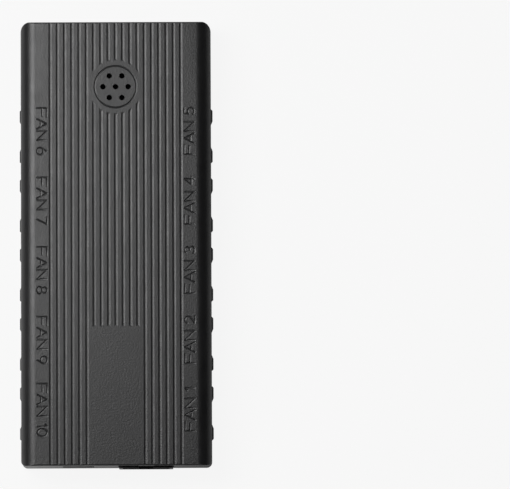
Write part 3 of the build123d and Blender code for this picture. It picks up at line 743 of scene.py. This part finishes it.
# painted light in reflections: the paper's white glow is strong on the left and fades towards the right
across = add(tree, "ShaderNodeSeparateXYZ", {"Vector": spot}).outputs["X"]
painted_left_light = {"Value": across, "From Min": -20 * MM, "From Max": 30 * MM, "To Min": 0.55, "To Max": 0.1}
painted_left_light = add(tree, "ShaderNodeMapRange", painted_left_light).outputs[0]
mirrored = add(tree, "ShaderNodeMath", {0: mirrored.outputs[0], 1: painted_left_light}, operation="MULTIPLY").outputs[0]
camera_share = 0.9
direct = add(tree, "ShaderNodeMath", {0: path["Is Camera Ray"], 1: camera_share}, operation="MULTIPLY").outputs[0]
share = add(tree, "ShaderNodeMath", {0: direct, 1: mirrored}, operation="MAXIMUM").outputs[0]
front = add(tree, "ShaderNodeMixShader", {0: share, 1: matt, 2: glow}).outputs[0]
clear = add(tree, "ShaderNodeBsdfTransparent").outputs[0]
contact = 0.8 * MM
touching = add(tree, "ShaderNodeMath", {0: path["Ray Length"], 1: contact}, operation="LESS_THAN").outputs[0]
below = add(tree, "ShaderNodeNewGeometry").outputs["Backfacing"]
away = add(tree, "ShaderNodeMath", {0: touching, 1: below}, operation="MAXIMUM").outputs[0]
surface = add(tree, "ShaderNodeMixShader", {0: away, 1: front, 2: clear}).outputs[0]
add(tree, "ShaderNodeOutputMaterial", {"Surface": surface})
sheet_mesh = bpy.data.meshes.new("paper_floor")
sheet_mesh.from_pydata([(-4, -4, 0), (4, -4, 0), (4, 4, 0), (-4, 4, 0)], [], [(0, 1, 2, 3)])
sheet_mesh.transform(Matrix.Translation((0, 0, -0.05 * MM)))
sheet_mesh.materials.append(paper)
paper_floor = bpy.data.objects.new("paper_floor", sheet_mesh)
bpy.context.scene.collection.objects.link(paper_floor)
paper_floor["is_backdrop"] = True
print("floor:", paper_floor.name)

# %% [markdown]
# ## Light
# The shading of the hub tells where the light was: the top is brightest at the far left and falls off towards
# the near right, the left-hand rounding carries a bright band, and the right-hand one is black. So one wide soft
# box hangs above, to the left and beyond the hub, and its right-hand edge ends left of the hub, so the right-hand
# rounding never mirrors it. A weak second lamp, low on the near left, keeps the sides readable.


# %% Soft boxes
def soft_box(name, place, aim, size, power):
    """A rectangular area lamp in metres and watts, turned to its aim."""
    lamp = bpy.data.lights.new(name, "AREA")
    lamp.shape = "RECTANGLE"
    lamp.size, lamp.size_y = size
    lamp.energy = power
    rig = bpy.data.objects.new(name, lamp)
    rig.location = place
    rig.rotation_euler = (Vector(aim) - Vector(place)).to_track_quat("-Z", "Y").to_euler()
    bpy.context.scene.collection.objects.link(rig)
    return rig


soft_box("overhead_soft_box", (-0.24, 0.102, 0.50), (-0.24, 0.102, 0.0), (0.387, 0.208), 2.46)
soft_box("near_fill", (-0.70, -0.45, 0.30), (0, 0, 0.01), (0.40, 0.20), 1.0)

# %% [markdown]
# ## Walls of the studio
# A black object shows mostly what it mirrors, so a studio has pale walls. Here the world is the walls: pale and
# low all round, but dim straight in front and on the left, and dark straight on the right and overhead, where the
# soft box alone should show. Below the floor it is pale too, for a look at the underside. The world's direction
# vector gives where on the walls a ray ends, and each dim wall is a wedge of those directions.

# %% World
world = bpy.data.worlds.new("studio")
world.use_nodes = True
bpy.context.scene.world = world
tree = world.node_tree
tree.nodes.clear()
path = add(tree, "ShaderNodeLightPath").outputs
towards = add(tree, "ShaderNodeTexCoord").outputs["Generated"]
opposite = add(tree, "ShaderNodeVectorMath", {0: towards, "Scale": -1.0}, operation="SCALE").outputs[0]
sideways = add(tree, "ShaderNodeVectorMath", {0: towards}, operation="ABSOLUTE").outputs[0]
facing, behind, aside = [
    add(tree, "ShaderNodeSeparateXYZ", {"Vector": vector}).outputs for vector in (towards, opposite, sideways)
]
ceiling = {"Value": facing["Z"], "From Min": 0.35, "From Max": 0.65, "To Min": 0.65, "To Max": 0.02}
walls = add(tree, "ShaderNodeMapRange", ceiling).outputs[0]
right_wall = (facing["X"], aside["Y"], 0.02)
left_wall = (behind["X"], aside["Y"], 0.12)
near_wall = (behind["Y"], aside["X"], 0.3)
narrowing = -1.2
soft_edge = 0.45
for ahead, off, level in (right_wall, left_wall, near_wall):
    wedge = add(tree, "ShaderNodeMath", {0: off, 1: narrowing, 2: ahead}, operation="MULTIPLY_ADD").outputs[0]
    share = {"Value": wedge, "From Min": 0.0, "From Max": soft_edge, "To Min": 1.0, "To Max": level}
    share = add(tree, "ShaderNodeMapRange", share).outputs[0]
    walls = add(tree, "ShaderNodeMath", {0: walls, 1: share}, operation="MULTIPLY").outputs[0]
below = add(tree, "ShaderNodeMath", {0: facing["Z"], 1: -0.02}, operation="LESS_THAN").outputs[0]
below = add(tree, "ShaderNodeMath", {0: below, 1: 0.8}, operation="MULTIPLY").outputs[0]
walls = add(tree, "ShaderNodeMath", {0: walls, 1: below}, operation="MAXIMUM").outputs[0]
dim = add(tree, "ShaderNodeBackground", {"Color": (1, 1, 1, 1), "Strength": walls}).outputs[0]
white = add(tree, "ShaderNodeBackground", {"Color": (1, 1, 1, 1), "Strength": 1.0}).outputs[0]
sky = add(tree, "ShaderNodeMixShader", {0: path["Is Camera Ray"], 1: dim, 2: white}).outputs[0]
add(tree, "ShaderNodeOutputWorld", {"Surface": sky})
print("world nodes:", len(tree.nodes))

# %% [markdown]
# ## Camera
# The picture looks almost straight down, from a little on the near side, with a long lens: the near end face
# shows as a thin sliver and the hub hardly tapers. Place, turn and focal length were fitted to the groove lines,
# the edges and the grille. The hub lies left of the middle of the frame, so the camera is turned a little to the
# right of it.

# %% Camera at the photograph's angle
image_width = 510
focal_pixels = 6261.7
lens = bpy.data.cameras.new("long_lens")
lens.sensor_width = 36.0
lens.lens = focal_pixels * lens.sensor_width / image_width
lens.clip_start, lens.clip_end = 0.05, 20.0
camera = bpy.data.objects.new("camera", lens)
camera.matrix_world = (
    Matrix.Translation(Vector((24.0, -137.8, 1700.3)) * MM)
    @ Matrix.Rotation(math.radians(4.662), 4, "X")
    @ Matrix.Rotation(math.radians(-0.458), 4, "Y")
    @ Matrix.Rotation(math.radians(-0.219), 4, "Z")
)
bpy.context.scene.collection.objects.link(camera)
bpy.context.scene.camera = camera
bpy.context.scene.view_settings.view_transform = "Standard"
print("lens in mm:", round(lens.lens, 1))

# %% The size of what is shown
low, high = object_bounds()
print("visual box in mm:", [round(side / MM, 2) for side in high - low])
